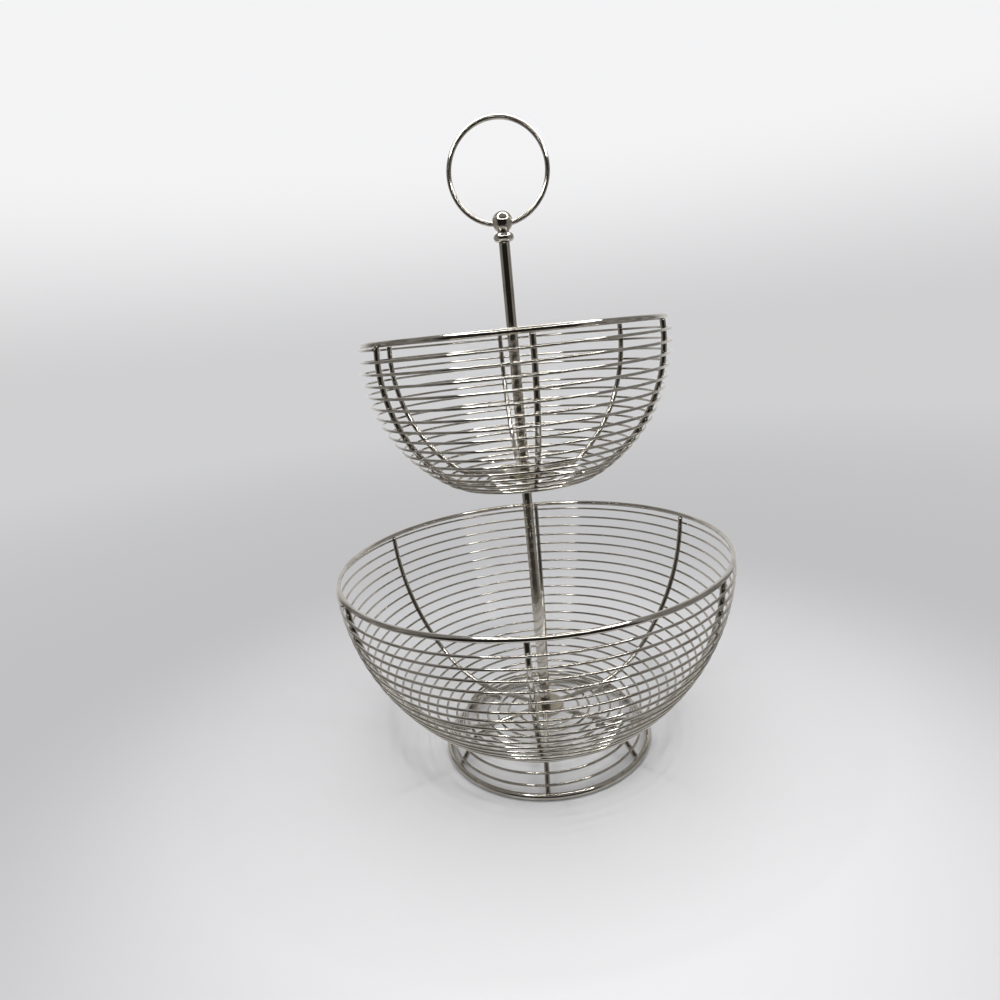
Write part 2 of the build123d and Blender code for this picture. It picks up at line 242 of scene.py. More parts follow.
class MeshMaker:
    """Builds wires, turned pieces and weld beads as clean meshes with a UV map."""

    break_depths = np.array([0.0, 0.06, 0.16, 0.32])
    break_widths = np.array([0.76, 0.88, 0.97, 1.0])
    nearly_upright = 0.1
    wire_sharp = 32
    turned_sharp = 30
    bead_rings = 5
    bead_sides = 10
    bead_sharp = 60

    @staticmethod
    def _finish(name: str, verts: np.ndarray, faces: list, uvs: list, sharp: float) -> bpy.types.Object:
        """Turn arrays into an object with smooth shading and one UV map.

        Args:
            name: The piece's name.
            verts: One row of coordinates for each vertex.
            faces: One tuple of vertex numbers for each face.
            uvs: One (u, v) pair for each corner of each face.
            sharp: Angle in degrees above which an edge stays sharp.

        Returns:
            The new object, linked to the scene.
        """
        mesh = bpy.data.meshes.new(name)
        mesh.from_pydata(verts.tolist(), [], faces)
        layer = mesh.uv_layers.new(name=UV_NAME)
        layer.data.foreach_set("uv", np.asarray(uvs, dtype=np.float32).ravel())
        mesh.polygons.foreach_set("use_smooth", np.ones(len(faces), dtype=bool))
        mesh.set_sharp_from_angle(angle=radians(sharp))
        mesh.validate()
        mesh.update()
        piece = bpy.data.objects.new(name, mesh)
        bpy.context.scene.collection.objects.link(piece)
        return piece

    @classmethod
    def _frames(cls, points: np.ndarray) -> tuple[np.ndarray, np.ndarray]:
        """Carry a pair of cross directions along a line without twist.

        Args:
            points: The line's points in order.

        Returns:
            Two unit directions across the line at each point.
        """
        tangents = np.gradient(points, axis=0)
        tangents /= np.linalg.norm(tangents, axis=1)[:, None]
        start = np.cross(tangents[0], (0.0, 0.0, 1.0))
        if np.linalg.norm(start) < cls.nearly_upright:
            start = np.cross(tangents[0], (0.0, 1.0, 0.0))
        across = np.empty_like(points)
        across[0] = start / np.linalg.norm(start)
        for i in range(1, len(points)):
            moved = across[i - 1] - np.dot(across[i - 1], tangents[i]) * tangents[i]
            across[i] = moved / np.linalg.norm(moved)
        return across, np.cross(tangents, across)

    @classmethod
    def _sheared(cls, points: np.ndarray, radius: float) -> tuple[np.ndarray, ...]:
        """Break both ends of a sheared wire softly.

        Args:
            points: The line's points in order.
            radius: The wire's radius.

        Returns:
            The line, its two cross directions and its radii, with more points at its ends.
        """
        across, other = cls._frames(points)
        first, last = points[1] - points[0], points[-2] - points[-1]
        depths = (radius * cls.break_depths)[:, None]
        shrunk = radius * cls.break_widths
        count = len(points)
        repeated = [0] * len(depths) + list(range(1, count - 1)) + [count - 1] * len(depths)
        line = [
            points[0] + first / np.linalg.norm(first) * depths,
            points[1:-1],
            (points[-1] + last / np.linalg.norm(last) * depths)[::-1],
        ]
        radii = np.concatenate([shrunk, np.full(count - 2, radius), shrunk[::-1]])
        return np.vstack(line), across[repeated], other[repeated], radii

    @classmethod
    def wire(
        cls, name: str, points: np.ndarray, radius: float, sides: int, closed: bool = False
    ) -> bpy.types.Object:
        """Build a round wire along a line, with softly broken sheared ends.

        Args:
            name: The piece's name.
            points: The line's points in order, not repeated where a hoop closes.
            radius: The wire's radius.
            sides: Number of faces round the wire.
            closed: Whether the wire closes on itself.

        Returns:
            The new object.
        """
        if closed:
            across, other = cls._frames(np.vstack([points[-1], points, points[0]]))
            across, other, radii = across[1:-1], other[1:-1], np.full(len(points), radius)
        else:
            points, across, other, radii = cls._sheared(points, radius)
        angles = np.arange(sides) * 2 * pi / sides
        spokes = np.cos(angles)[:, None] * across[:, None, :] + np.sin(angles)[:, None] * other[:, None, :]
        rings = points[:, None, :] + spokes * radii[:, None, None]
        count = len(points)
        line = np.vstack([points, points[:1]]) if closed else points
        run = np.concatenate([[0], np.cumsum(np.linalg.norm(np.diff(line, axis=0), axis=1))])
        faces, uvs = [], []
        for i in range(len(run) - 1):
            here, there = i * sides, (i + 1) % count * sides
            for j in range(sides):
                k = (j + 1) % sides
                left, right = j / sides, (j + 1) / sides
                faces.append((here + j, here + k, there + k, there + j))
                uvs += [(run[i], left), (run[i], right), (run[i + 1], right), (run[i + 1], left)]
        if not closed:
            faces += [tuple(range(sides))[::-1], tuple(range((count - 1) * sides, count * sides))]
            uvs += [(0.0, j / sides) for j in range(sides)][::-1]
            uvs += [(run[-1], j / sides) for j in range(sides)]
        return cls._finish(name, rings.reshape(-1, 3), faces, uvs, cls.wire_sharp)

    @classmethod
    def turned(
        cls, name: str, outline: list[Pair], base: float, sides: int = Facets.POLE, closed: bool = True
    ) -> bpy.types.Object:
        """Turn an outline round the pole's axis.

        Args:
            name: The piece's name.
            outline: (radius, height) places in order, with the solid on their left.
            base: Height that the outline's heights are counted from.
            sides: Number of faces round the axis.
            closed: Whether the outline's end joins its start.

        Returns:
            The new object.
        """
        on_axis = [radius < AXIS_RADIUS for radius, _ in outline]
        verts, index = [], []
        for (radius, height), axis in zip(outline, on_axis):
            index.append(len(verts))
            for j in range(1 if axis else sides):
                verts.append(Layout.around(2 * pi * j / sides, radius, base + height))
        faces, uvs = [], []
        run = 0.0
        for i, (radius, height) in enumerate(outline if closed else outline[:-1]):
            n = (i + 1) % len(outline)
            if on_axis[i] and on_axis[n]:
                continue
            on = run + hypot(outline[n][0] - radius, outline[n][1] - height)
            for j in range(sides):
                k = (j + 1) % sides
                left, right = j / sides, (j + 1) / sides
                here = [(index[i] + j, (run, left)), (index[i] + k, (run, right))]
                there = [(index[n] + k, (on, right)), (index[n] + j, (on, left))]
                if on_axis[i]:
                    here = [(index[i], (run, left))]
                if on_axis[n]:
                    there = [(index[n], (on, left))]
                faces.append(tuple(corner[0] for corner in here + there))
                uvs += [corner[1] for corner in here + there]
            run = on
        return cls._finish(name, np.array(verts), faces, uvs, cls.turned_sharp)

    @classmethod
    def beads(cls, name: str, places: list[Matrix], size: Triple) -> bpy.types.Object:
        """Build the small flattened beads that weld crossed wires together.

        Args:
            name: The piece's name.
            places: Where each bead is and how it is turned.
            size: Half-lengths of a bead along its own three directions.

        Returns:
            One object that holds all the beads.
        """
        sides = cls.bead_sides
        unit = [(0.0, 0.0, 1.0)]
        for i in range(1, cls.bead_rings):
            polar = pi * i / cls.bead_rings
            for j in range(sides):
                unit.append(Layout.around(2 * pi * j / sides, sin(polar), cos(polar)))
        unit.append((0.0, 0.0, -1.0))
        foot = len(unit) - 1
        shape = []
        for j in range(sides):
            k = (j + 1) % sides
            shape += [(0, 1 + j, 1 + k), (foot - sides + j, foot, foot - sides + k)]
            for low in range(1, foot - sides, sides):
                high = low + sides
                shape.append((low + j, high + j, high + k, low + k))
        local = np.array(unit) * np.array(size)
        verts, faces, uvs = [], [], []
        for number, place in enumerate(places):
            verts.append(local @ np.array(place.to_3x3()).T + np.array(place.translation))
            for face in shape:
                faces.append(tuple(number * len(unit) + v for v in face))
                uvs += [(local[v][0], local[v][1] / size[1]) for v in face]
        return cls._finish(name, np.vstack(verts), faces, uvs, cls.bead_sharp)


class NodeWriter:
    """Adds nodes to a tree, with their inputs set or joined."""

    def __init__(self, tree: bpy.types.NodeTree) -> None:
        """Keep the tree that the nodes go in."""
        self.tree = tree

    @classmethod
    def group(cls, name: str, inputs: dict[str, float], outputs: tuple[str, ...]) -> "NodeWriter":
        """Start a shader group whose sockets are numbers.

        Args:
            name: The group's name.
            inputs: Each input's name and value.
            outputs: The outputs' names.

        Returns:
            A writer for the group's tree.
        """
        tree = bpy.data.node_groups.new(name, "ShaderNodeTree")
        for title, value in inputs.items():
            made = tree.interface.new_socket(title, in_out="INPUT", socket_type="NodeSocketFloat")
            made.default_value = value
        for title in outputs:
            tree.interface.new_socket(title, in_out="OUTPUT", socket_type="NodeSocketFloat")
        return cls(tree)

    def feed(self, socket: Socket, value: Value) -> None:
        """Set an input, or join an output to it.

        Args:
            socket: The input.
            value: An output, a number or a colour.
        """
        if isinstance(value, Socket):
            self.tree.links.new(value, socket)
        else:
            socket.default_value = (*value, 1) if isinstance(value, tuple) else value

    def put(self, kind: str, *ordered: Value, **named: Value | str | bpy.types.NodeTree) -> Outputs:
        """Add a node.

        Args:
            kind: The node's type.
            ordered: What its first inputs get.
            named: Its own settings in lower case, then what inputs get, with _ for a space.

        Returns:
            The node's outputs.
        """
        node = self.tree.nodes.new(kind)
        for title in filter(str.islower, named):
            setattr(node, title, named[title])
        self.fill(node, **{title: value for title, value in named.items() if not title.islower()})
        for socket, value in zip(node.inputs, ordered):
            self.feed(socket, value)
        return node.outputs

    def fill(self, node: bpy.types.Node, **named: Value) -> None:
        """Feed some of a node's inputs, whose names have _ for a space."""
        for title, value in named.items():
            self.feed(node.inputs[title.replace("_", " ")], value)

    def step(self, value: Socket, low: float, high: float) -> Socket:
        """A soft step of a value.

        Args:
            value: The output to read.
            low: Where the step starts.
            high: Where it ends. Below the start, the step falls.

        Returns:
            An output that goes from 0 to 1.
        """
        ends = (high, low, 1.0, 0.0) if high < low else (low, high, 0.0, 1.0)
        return self.put("ShaderNodeMapRange", value, *ends, interpolation_type="SMOOTHSTEP")["Result"]

    def blend(self, share: Socket, first: Value, second: Value) -> Socket:
        """Mix two colours, from the first at 0 to the second at 1."""
        return self.put("ShaderNodeMix", data_type="RGBA", Factor=share, A=first, B=second)["Result"]


class DrawnStreaks:
    """Shader group: the faint long marks that drawing leaves along a wire."""

    name = "drawn_wire_streaks"
    sharpness = 0.5
    broad_scale = 0.23
    streak_range = (0.16, 0.42)

    @classmethod
    def group(cls) -> bpy.types.NodeTree:
        """The group, built once.

        Returns:
            A group whose outputs are a streak mask and a height.
        """
        if cls.name in bpy.data.node_groups:
            return bpy.data.node_groups[cls.name]
        writer = NodeWriter.group(cls.name, {"Along Scale": 60.0, "Round Scale": 9.0}, ("Streak", "Height"))
        given = writer.put("NodeGroupInput")
        uv = writer.put("ShaderNodeUVMap", uv_map=UV_NAME)["UV"]
        scale = writer.put("ShaderNodeCombineXYZ", given["Along Scale"], given["Round Scale"])["Vector"]
        place = writer.put("ShaderNodeVectorMath", uv, scale, operation="MULTIPLY")["Vector"]
        fine = writer.put("ShaderNodeTexNoise", Vector=place, Scale=1.0, Detail=4.0, Roughness=0.6)["Fac"]
        broad = writer.put("ShaderNodeTexNoise", Vector=place, Scale=cls.broad_scale, Detail=2.0)["Fac"]
        both = writer.put("ShaderNodeMath", fine, broad, operation="MULTIPLY")["Value"]
        narrow = writer.put("ShaderNodeMapRange", both, *cls.streak_range)["Result"]
        streak = writer.put("ShaderNodeMath", narrow, cls.sharpness, operation="POWER")["Value"]
        writer.put("NodeGroupOutput", Streak=streak, Height=fine)
        return writer.tree


class HandledSmudges:
    """Shader group: soft cloudy smudges that handling leaves on plate."""

    name = "handled_smudges"
    cloud_range = (0.42, 0.72)

    @classmethod
    def group(cls) -> bpy.types.NodeTree:
        """The group, built once.

        Returns:
            A group whose output is a smudge mask.
        """
        if cls.name in bpy.data.node_groups:
            return bpy.data.node_groups[cls.name]
        writer = NodeWriter.group(cls.name, {"Smudge Scale": 30.0}, ("Smudge",))
        scale = writer.put("NodeGroupInput")["Smudge Scale"]
        place = writer.put("ShaderNodeTexCoord")["Object"]
        cloud = writer.put("ShaderNodeTexNoise", Vector=place, Scale=scale, Detail=3.0, Distortion=0.8)
        writer.put("NodeGroupOutput", Smudge=writer.step(cloud["Fac"], *cls.cloud_range))
        return writer.tree


@dataclass(frozen=True)
class ChromePlate:
    """Bright plated steel: a mirror that streaks and smudges dull in places."""

    name: str
    bright: Triple = (0.59, 0.565, 0.52)
    dull: Triple = (0.44, 0.41, 0.36)
    polish: float = 0.05
    dulled: float = 0.13
    along_scale: float = 60.0
    round_scale: float = 9.0
    smudge_scale: float = 30.0
    streak_share: float = 0.55
    dent_strength: float = 0.25
    dent_height: float = 0.015 * MM

    def material(self) -> bpy.types.Material:
        """Build the finish once and hand it out after that.

        Returns:
            The material.
        """
        if self.name in bpy.data.materials:
            return bpy.data.materials[self.name]
        made = bpy.data.materials.new(self.name)
        made.use_nodes = True
        writer = NodeWriter(made.node_tree)
        scales = (self.along_scale, self.round_scale)
        streaks = writer.put("ShaderNodeGroup", *scales, node_tree=DrawnStreaks.group())
        smudges = writer.put("ShaderNodeGroup", self.smudge_scale, node_tree=HandledSmudges.group())
        marks = (streaks["Streak"], self.streak_share, smudges["Smudge"])
        wear = writer.put("ShaderNodeMath", *marks, operation="MULTIPLY_ADD", use_clamp=True)["Value"]
        rough = writer.put("ShaderNodeMapRange", Value=wear, To_Min=self.polish, To_Max=self.dulled)
        dent = {"Strength": self.dent_strength, "Distance": self.dent_height}
        dents = writer.put("ShaderNodeBump", Height=streaks["Height"], **dent)
        looks = {"Base_Color": writer.blend(wear, self.bright, self.dull), "Roughness": rough["Result"]}
        shader = made.node_tree.nodes["Principled BSDF"]
        writer.fill(shader, Metallic=1.0, Normal=dents["Normal"], **looks)
        return made


class Finishes:
    """The plated finishes of the basket's pieces."""

    winding = ChromePlate("chromed_winding_wire", along_scale=30, round_scale=4)
    rib = ChromePlate("chromed_rib_wire", along_scale=34, round_scale=6)
    hoop = ChromePlate("chromed_hoop_wire", along_scale=28, round_scale=7)
    handle = ChromePlate(
        "chromed_handle_wire", bright=(0.53, 0.505, 0.46), along_scale=55, round_scale=9, polish=0.04
    )
    pole = ChromePlate("chromed_pole", along_scale=40, round_scale=14, polish=0.04)
    turned = ChromePlate("chromed_turned_finial", along_scale=400, round_scale=2, polish=0.035)
    plate = ChromePlate(
        "chromed_hub_plate", bright=(0.42, 0.385, 0.31), dull=(0.3, 0.27, 0.21), polish=0.1, dulled=0.26
    )
    fastener = ChromePlate("plated_fastener", polish=0.12, dulled=0.28)
    weld = ChromePlate(
        "plated_weld_bead", bright=(0.48, 0.455, 0.41), dull=(0.34, 0.32, 0.28), polish=0.3, dulled=0.48
    )


class Dresser:
    """Gives a piece its body and its finish, and says so."""

    @staticmethod
    def dress(piece: bpy.types.Object, body: Body, slot: Slot, finish: ChromePlate, *nodes: str) -> None:
        """Finish one piece.

        Args:
            piece: The new mesh.
            body: The body that it moves with.
            slot: The record's slot that it stands for. Not used.
            finish: What it is plated with.
            nodes: The CAD nodes that it replaces.
        """
        piece.data.materials.append(finish.material())
        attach(piece, body.value)
        for node in nodes:
            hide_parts(node)
        log.info("%s: %d faces on %s", piece.name, len(piece.data.polygons), body.value)

    @staticmethod
    def redress(node: str, finish: ChromePlate) -> None:
        """Give a CAD node that stays a better finish.

        Args:
            node: The CAD node's name.
            finish: What it is plated with.
        """
        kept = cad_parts[node]
        if not kept.material_slots:
            kept.data.materials.append(finish.material())
        for slot in kept.material_slots:
            slot.material = finish.material()
        log.info("%s keeps its CAD mesh", node)


@dataclass
class WireCage(ABC):
    """What a bowl and the foot share: ribs in a circle, with one long wire wound round them."""

    tier: str
    body: Body
    bowl: BowlShape
    gauges: WireGauges = WireGauges()
    rib_count: int = 6
    points_per_turn: int = 96

    @abstractmethod
    def _winding_at(self, share: float) -> tuple[float, Pair, Pair]:
        """A place on the winding.

        Args:
            share: How far along it, from 0 at its upper end to 1 at its lower end.

        Returns:
            Its angle round the pole, its radius and height, and the way across the wires there.
        """

    def _rib_angle(self, number: int) -> float:
        """Direction of a rib, in radians."""
        return radians(self.bowl.first_rib_angle + 360 / self.rib_count * number)

    def _ribs(self, places: list[Pair]) -> None:
        """Stand a bent wire up at the direction of each rib.

        Args:
            places: The wire's radii and heights.
        """
        for number in range(self.rib_count):
            angle = self._rib_angle(number)
            points = np.array([Layout.around(angle, *place) for place in places])
            rib = MeshMaker.wire(f"{self.tier}_rib_wire_{number + 1}", points, self.gauges.rib, Facets.RIB)
            Dresser.dress(rib, self.body, Slot.RIB, Finishes.rib, f"{self.tier}_rib_{number + 1}")

    def _winding(self, turns: float, radius: float) -> None:
        """Wind the one long wire, and run it straight on a little past both of its ends.

        Args:
            turns: How often it goes round.
            radius: The wire's radius.
        """
        count = int(turns * self.points_per_turn)
        spots = [self._winding_at(step / count) for step in range(count + 1)]
        points = np.array([Layout.around(angle, *place) for angle, place, _ in spots])
        first, last = points[0] - points[1], points[-1] - points[-2]
        tail = 2 * self.gauges.winding
        before = points[0] + first / np.linalg.norm(first) * tail
        after = points[-1] + last / np.linalg.norm(last) * tail
        points = np.vstack([before, points, after])
        winding = MeshMaker.wire(f"{self.tier}_winding_wire", points, radius, Facets.WINDING)
        Dresser.dress(winding, self.body, Slot.WINDING, Finishes.winding, f"{self.tier}_winding")

    def _crossings(self, turns: float) -> list[Matrix]:
        """Where the winding is welded to the ribs.

        Args:
            turns: How often the winding goes round.

        Returns:
            A placing for each bead.
        """
        count, depth = round(turns * self.rib_count), self.gauges.weld_middle
        return [Layout.bead(*self._winding_at(number / count), depth) for number in range(count + 1)]

    def _rib_beads(self, place: Pair, facing: Pair) -> list[Matrix]:
        """A weld bead at the same place of each rib.

        Args:
            place: Its radius and height.
            facing: The radial and upward parts of the direction across the weld.

        Returns:
            A placing for each bead.
        """
        return [Layout.bead(self._rib_angle(number), place, facing) for number in range(self.rib_count)]


@dataclass
class WireBowl(WireCage):
    """One bowl: rim, ribs, hub disc, the long winding and the welds between them."""

    rib_points: int = 110
    hub_radius: float = 15.0 * MM
    hub_thickness: float = 4.4 * MM
    hub_round: float = 0.5 * MM
    hub_round_points: int = 5
    hub_bore: float = 3.05 * MM
    crossing_bead: Triple = (1.15 * MM, 0.95 * MM, 0.62 * MM)
    rib_end_bead: Triple = (1.9 * MM, 1.8 * MM, 0.6 * MM)

    def build(self) -> None:
        """Build and dress every piece of the bowl."""
        self._rim()
        self._ribs(self._rib_line())
        self._winding(self.bowl.turns, self.gauges.winding - self.gauges.trim)
        self._hub()
        self._welds()

    @property
    def hub_height(self) -> float:
        """Height of the middle of the hub disc."""
        return self.bowl.floor_height + self.gauges.winding_to_rib

    def _rim(self) -> None:
        """The closed hoop round the mouth."""
        points = Layout.hoop(self.bowl.rim_radius, self.bowl.rim_height)
        name = f"{self.tier}_rim_hoop"
        rim = MeshMaker.wire(name, points, self.gauges.rim, Facets.RIM, closed=True)
        Dresser.dress(rim, self.body, Slot.RIM, Finishes.hoop, f"{self.tier}_rim")

    def _rib_line(self) -> list[Pair]:
        """One bent rib.

        Returns:
            (radius, height) places from the rim to the hub.
        """
        line = self.bowl.meridian(self.gauges.winding_to_rib)
        top = line.run_at(self.bowl.rim_height - self.gauges.rim - self.gauges.weld_gap)
        end = line.run_to(self.hub_radius + self.gauges.weld_gap)
        return [line.at(run)[0] for run in np.linspace(top, end, self.rib_points)]

    def _winding_at(self, share: float) -> tuple[float, Pair, Pair]:
        """A place on the winding, which goes clockwise downwards from the left front rib.

        Args:
            share: How far along it, from 0 under the rim to 1 near the hub.

        Returns:
            Its angle round the pole, its radius and height, and the way that the bowl faces there.
        """
        line, gauges = self.bowl.meridian(0), self.gauges
        first = line.run_at(self.bowl.rim_height - gauges.rim - gauges.winding - gauges.weld_gap)
        run = first + (line.run_to(self.bowl.end_radius) - first) * share
        return self._rib_angle(-1) - 2 * pi * self.bowl.turns * share, *line.at(run)

    def _hub(self) -> None:
        """The plate that the ribs end on."""
        half, soft = self.hub_thickness / 2, self.hub_round
        edge, turns = self.hub_radius - soft, np.linspace(0, pi / 2, self.hub_round_points)
        outline = [(self.hub_bore, -half)] + Layout.arc((edge, soft - half), soft, turns - pi / 2)
        outline += Layout.arc((edge, half - soft), soft, turns) + [(self.hub_bore, half)]
        disc = MeshMaker.turned(f"{self.tier}_hub_plate", outline, self.hub_height, Facets.HUB)
        Dresser.dress(disc, self.body, Slot.HUB, Finishes.plate, f"{self.tier}_hub_disc")

    def _welds(self) -> None:
        """A small bead where the winding crosses each rib, and one at each end of each rib."""
        beads = self._crossings(self.bowl.turns)
        welds = MeshMaker.beads(f"{self.tier}_crossing_welds", beads, self.crossing_bead)
        Dresser.dress(welds, self.body, Slot.WINDING, Finishes.weld)
        line, half_gap = self.bowl.meridian(self.gauges.winding_to_rib), self.gauges.weld_gap / 2
        under_rim, _ = line.at(line.run_at(self.bowl.rim_height - self.gauges.rim - half_gap))
        beads = self._rib_beads(under_rim, (0, 1))
        beads += self._rib_beads((self.hub_radius + half_gap, self.hub_height), (1, 0))
        welds = MeshMaker.beads(f"{self.tier}_rib_end_welds", beads, self.rib_end_bead)
        Dresser.dress(welds, self.body, Slot.RIB, Finishes.weld)


@dataclass
class SplayedFoot(WireCage):
    """The foot under a bowl: ring, six hooked ribs, a winding and its welds."""

    ring_radius: float = 82.6 * MM
    land_depth: float = 0.3 * MM
    slope: float = radians(53.4)
    pitch: float = 8.2 * MM
    turns: float = 2 + 240 / 360
    hook_radius: float = 54.0 * MM
    hook_run: float = 8.0 * MM
    bend_radius: float = 5.0 * MM
    slope_points: int = 12
    bend_points: int = 14
    hook_points: int = 10
    bead: Triple = (1.2 * MM, 1.0 * MM, 0.62 * MM)

    def build(self) -> None:
        """Build and dress every piece of the foot."""
        line = self._rib_line()
        self._ring()
        self._ribs(line)
        self._winding(self.turns, self.gauges.winding)
        beads = self._crossings(self.turns)
        beads += self._rib_beads(line[0], (cos(self.slope), -sin(self.slope)))
        welds = MeshMaker.beads("foot_welds", beads, self.bead)
        Dresser.dress(welds, self.body, Slot.WINDING, Finishes.weld)

    @property
    def ring_height(self) -> float:
        """Height of the ring's centre line."""
        return self.gauges.foot_ring - self.land_depth

    def _point(self, up: float, inset: float) -> Pair:
        """A place on the cone.

        Args:
            up: Distance up the slope from the ring.
            inset: Distance inwards from the winding's centre line.

        Returns:
            Its radius and height.
        """
        radius = self.ring_radius - cos(self.slope) * up - sin(self.slope) * inset
        return radius, self.ring_height + sin(self.slope) * up - cos(self.slope) * inset

    def _ring(self) -> None:
        """The heavy ring, flattened a little where it stands."""
        points, gauge = Layout.hoop(self.ring_radius, self.ring_height), self.gauges.foot_ring
        ring = MeshMaker.wire("foot_hoop", points, gauge, Facets.FOOT_RING, closed=True)
        for vertex in ring.data.vertices:
            vertex.co.z = max(vertex.co.z, 0.0)
        Dresser.dress(ring, self.body, Slot.FOOT, Finishes.hoop, "foot_ring")

    def _rib_line(self) -> list[Pair]:
        """One rib: up the slope from the ring, round a bend, and in under the bowl.

        Returns:
            (radius, height) places, the lowest first.
        """
        touch = self.gauges.winding_to_rib
        line = self.bowl.meridian(0)
        under = line.corner + touch
        lean = asin((self.hook_radius - line.corner_x) / under)
        hook_z = line.corner_z - under * cos(lean)
        clear = self.gauges.foot_ring + self.gauges.weld_gap
        low = self._point(sqrt(clear**2 - (touch - self.gauges.rib) ** 2), touch)
        base = self._point(0, touch)
        rise = hook_z + (base[0] - self.hook_radius) * tan(lean) - base[1]
        corner = self._point(rise / (sin(self.slope) + cos(self.slope) * tan(lean)), touch)
        tip = Vector((self.hook_radius - self.hook_run * cos(lean), hook_z - self.hook_run * sin(lean)))
        up = Vector((corner[0] - low[0], corner[1] - low[1])).normalized()
        sweep = up.angle(tip - Vector(corner))
        start = Vector(corner) - up * self.bend_radius * tan(sweep / 2)
        arrow = Vector((up.y, -up.x)) * self.bend_radius
        slope_shares = np.linspace(0, 1, self.slope_points)[:-1]
        points = [tuple(Vector(low).lerp(start, share)) for share in slope_shares]
        first = atan2(arrow.y, arrow.x)
        angles = np.linspace(first, first + sweep, self.bend_points)
        points += Layout.arc(start - arrow, self.bend_radius, angles)
        bend_end = Vector(points[-1])
        hook_shares = np.linspace(0, 1, self.hook_points)[1:]
        return points + [tuple(bend_end.lerp(tip, share)) for share in hook_shares]

    def _winding_at(self, share: float) -> tuple[float, Pair, Pair]:
        """A place on the winding, which ends at the back rib just above the ring.

        Args:
            share: How far along it, from 0 at the top to 1 at the ring.

        Returns:
            Its angle round the pole, its radius and height, and the way that the cone faces.
        """
        last = self.gauges.foot_ring + self.gauges.winding + self.gauges.weld_gap
        place = self._point(last + self.turns * self.pitch * (1 - share), 0)
        angle = radians(self.bowl.first_rib_angle - 180) + 2 * pi * self.turns * (1 - share)
        return angle, place, (sin(self.slope), cos(self.slope))


@dataclass
class CentralPole:
    """Both lengths of the pole, with the hidden stud, the washer and the cap nut."""

    lower_hub: float
    upper_hub: float
    hub_thickness: float
    radius: float = 4.0 * MM
    play: float = 0.1 * MM
    upper_length: float = 164.1 * MM
    soft: float = 0.5 * MM
    soft_points: int = 4
    side_shares: Pair = (0.02, 0.98)
    side_points: int = 12
    spigot: float = 3.0 * MM
    spigot_reach: float = 12.3 * MM
    stud_hole: float = 3.05 * MM
    stud_hole_depth: float = 15.5 * MM
    finial_hole: float = 2.55 * MM
    finial_hole_depth: float = 13.5 * MM

    def build(self) -> None:
        """Build and dress the pole and its fasteners."""
        low, reach = self.lower_hub + self.hub_thickness / 2, -self.spigot_reach
        length = self.upper_hub - self.hub_thickness / 2 - low
        outline = [(0, reach), (self.spigot - self.soft / 2, reach)]
        outline += [(self.spigot, reach + self.soft / 2), (self.spigot, 0)]
        outline += self._side(length, self.stud_hole, self.stud_hole_depth)
        pole = MeshMaker.turned("lower_pole_tube", outline, low)
        Dresser.dress(pole, Body.STAND, Slot.POLE, Finishes.pole, "lower_pole")
        hole, depth = self.stud_hole, self.stud_hole_depth
        outline = [(0, depth), (hole, depth), (hole, 0)]
        outline += self._side(self.upper_length, self.finial_hole, self.finial_hole_depth)
        pole = MeshMaker.turned("upper_pole_tube", outline, self.upper_base)
        Dresser.dress(pole, Body.STAND, Slot.POLE, Finishes.pole, "upper_pole")
        for node in ("joining_stud", "base_washer", "base_cap_nut"):
            Dresser.redress(node, Finishes.fastener)

    @property
    def upper_base(self) -> float:
        """Height of the lower end of the upper pole."""
        return self.upper_hub + self.hub_thickness / 2 + self.play

    def _side(self, length: float, hole: float, depth: float) -> list[Pair]:
        """Outline of the pole's side with both ends rounded, and of the hole in its top.

        Args:
            length: How long this length of the pole is.
            hole: The hole's radius.
            depth: The hole's depth.

        Returns:
            (radius, height) places going up, and then down the hole.
        """
        edge, soft = self.radius - self.soft, self.soft
        turns = np.linspace(0, pi / 2, self.soft_points)
        shares = np.linspace(*self.side_shares, self.side_points)
        places = Layout.arc((edge, soft), soft, turns - pi / 2)
        places += [(self.radius, length * share) for share in shares]
        places += Layout.arc((edge, length - soft), soft, turns)
        return places + [(hole, length), (hole, length - depth), (0, length - depth)]


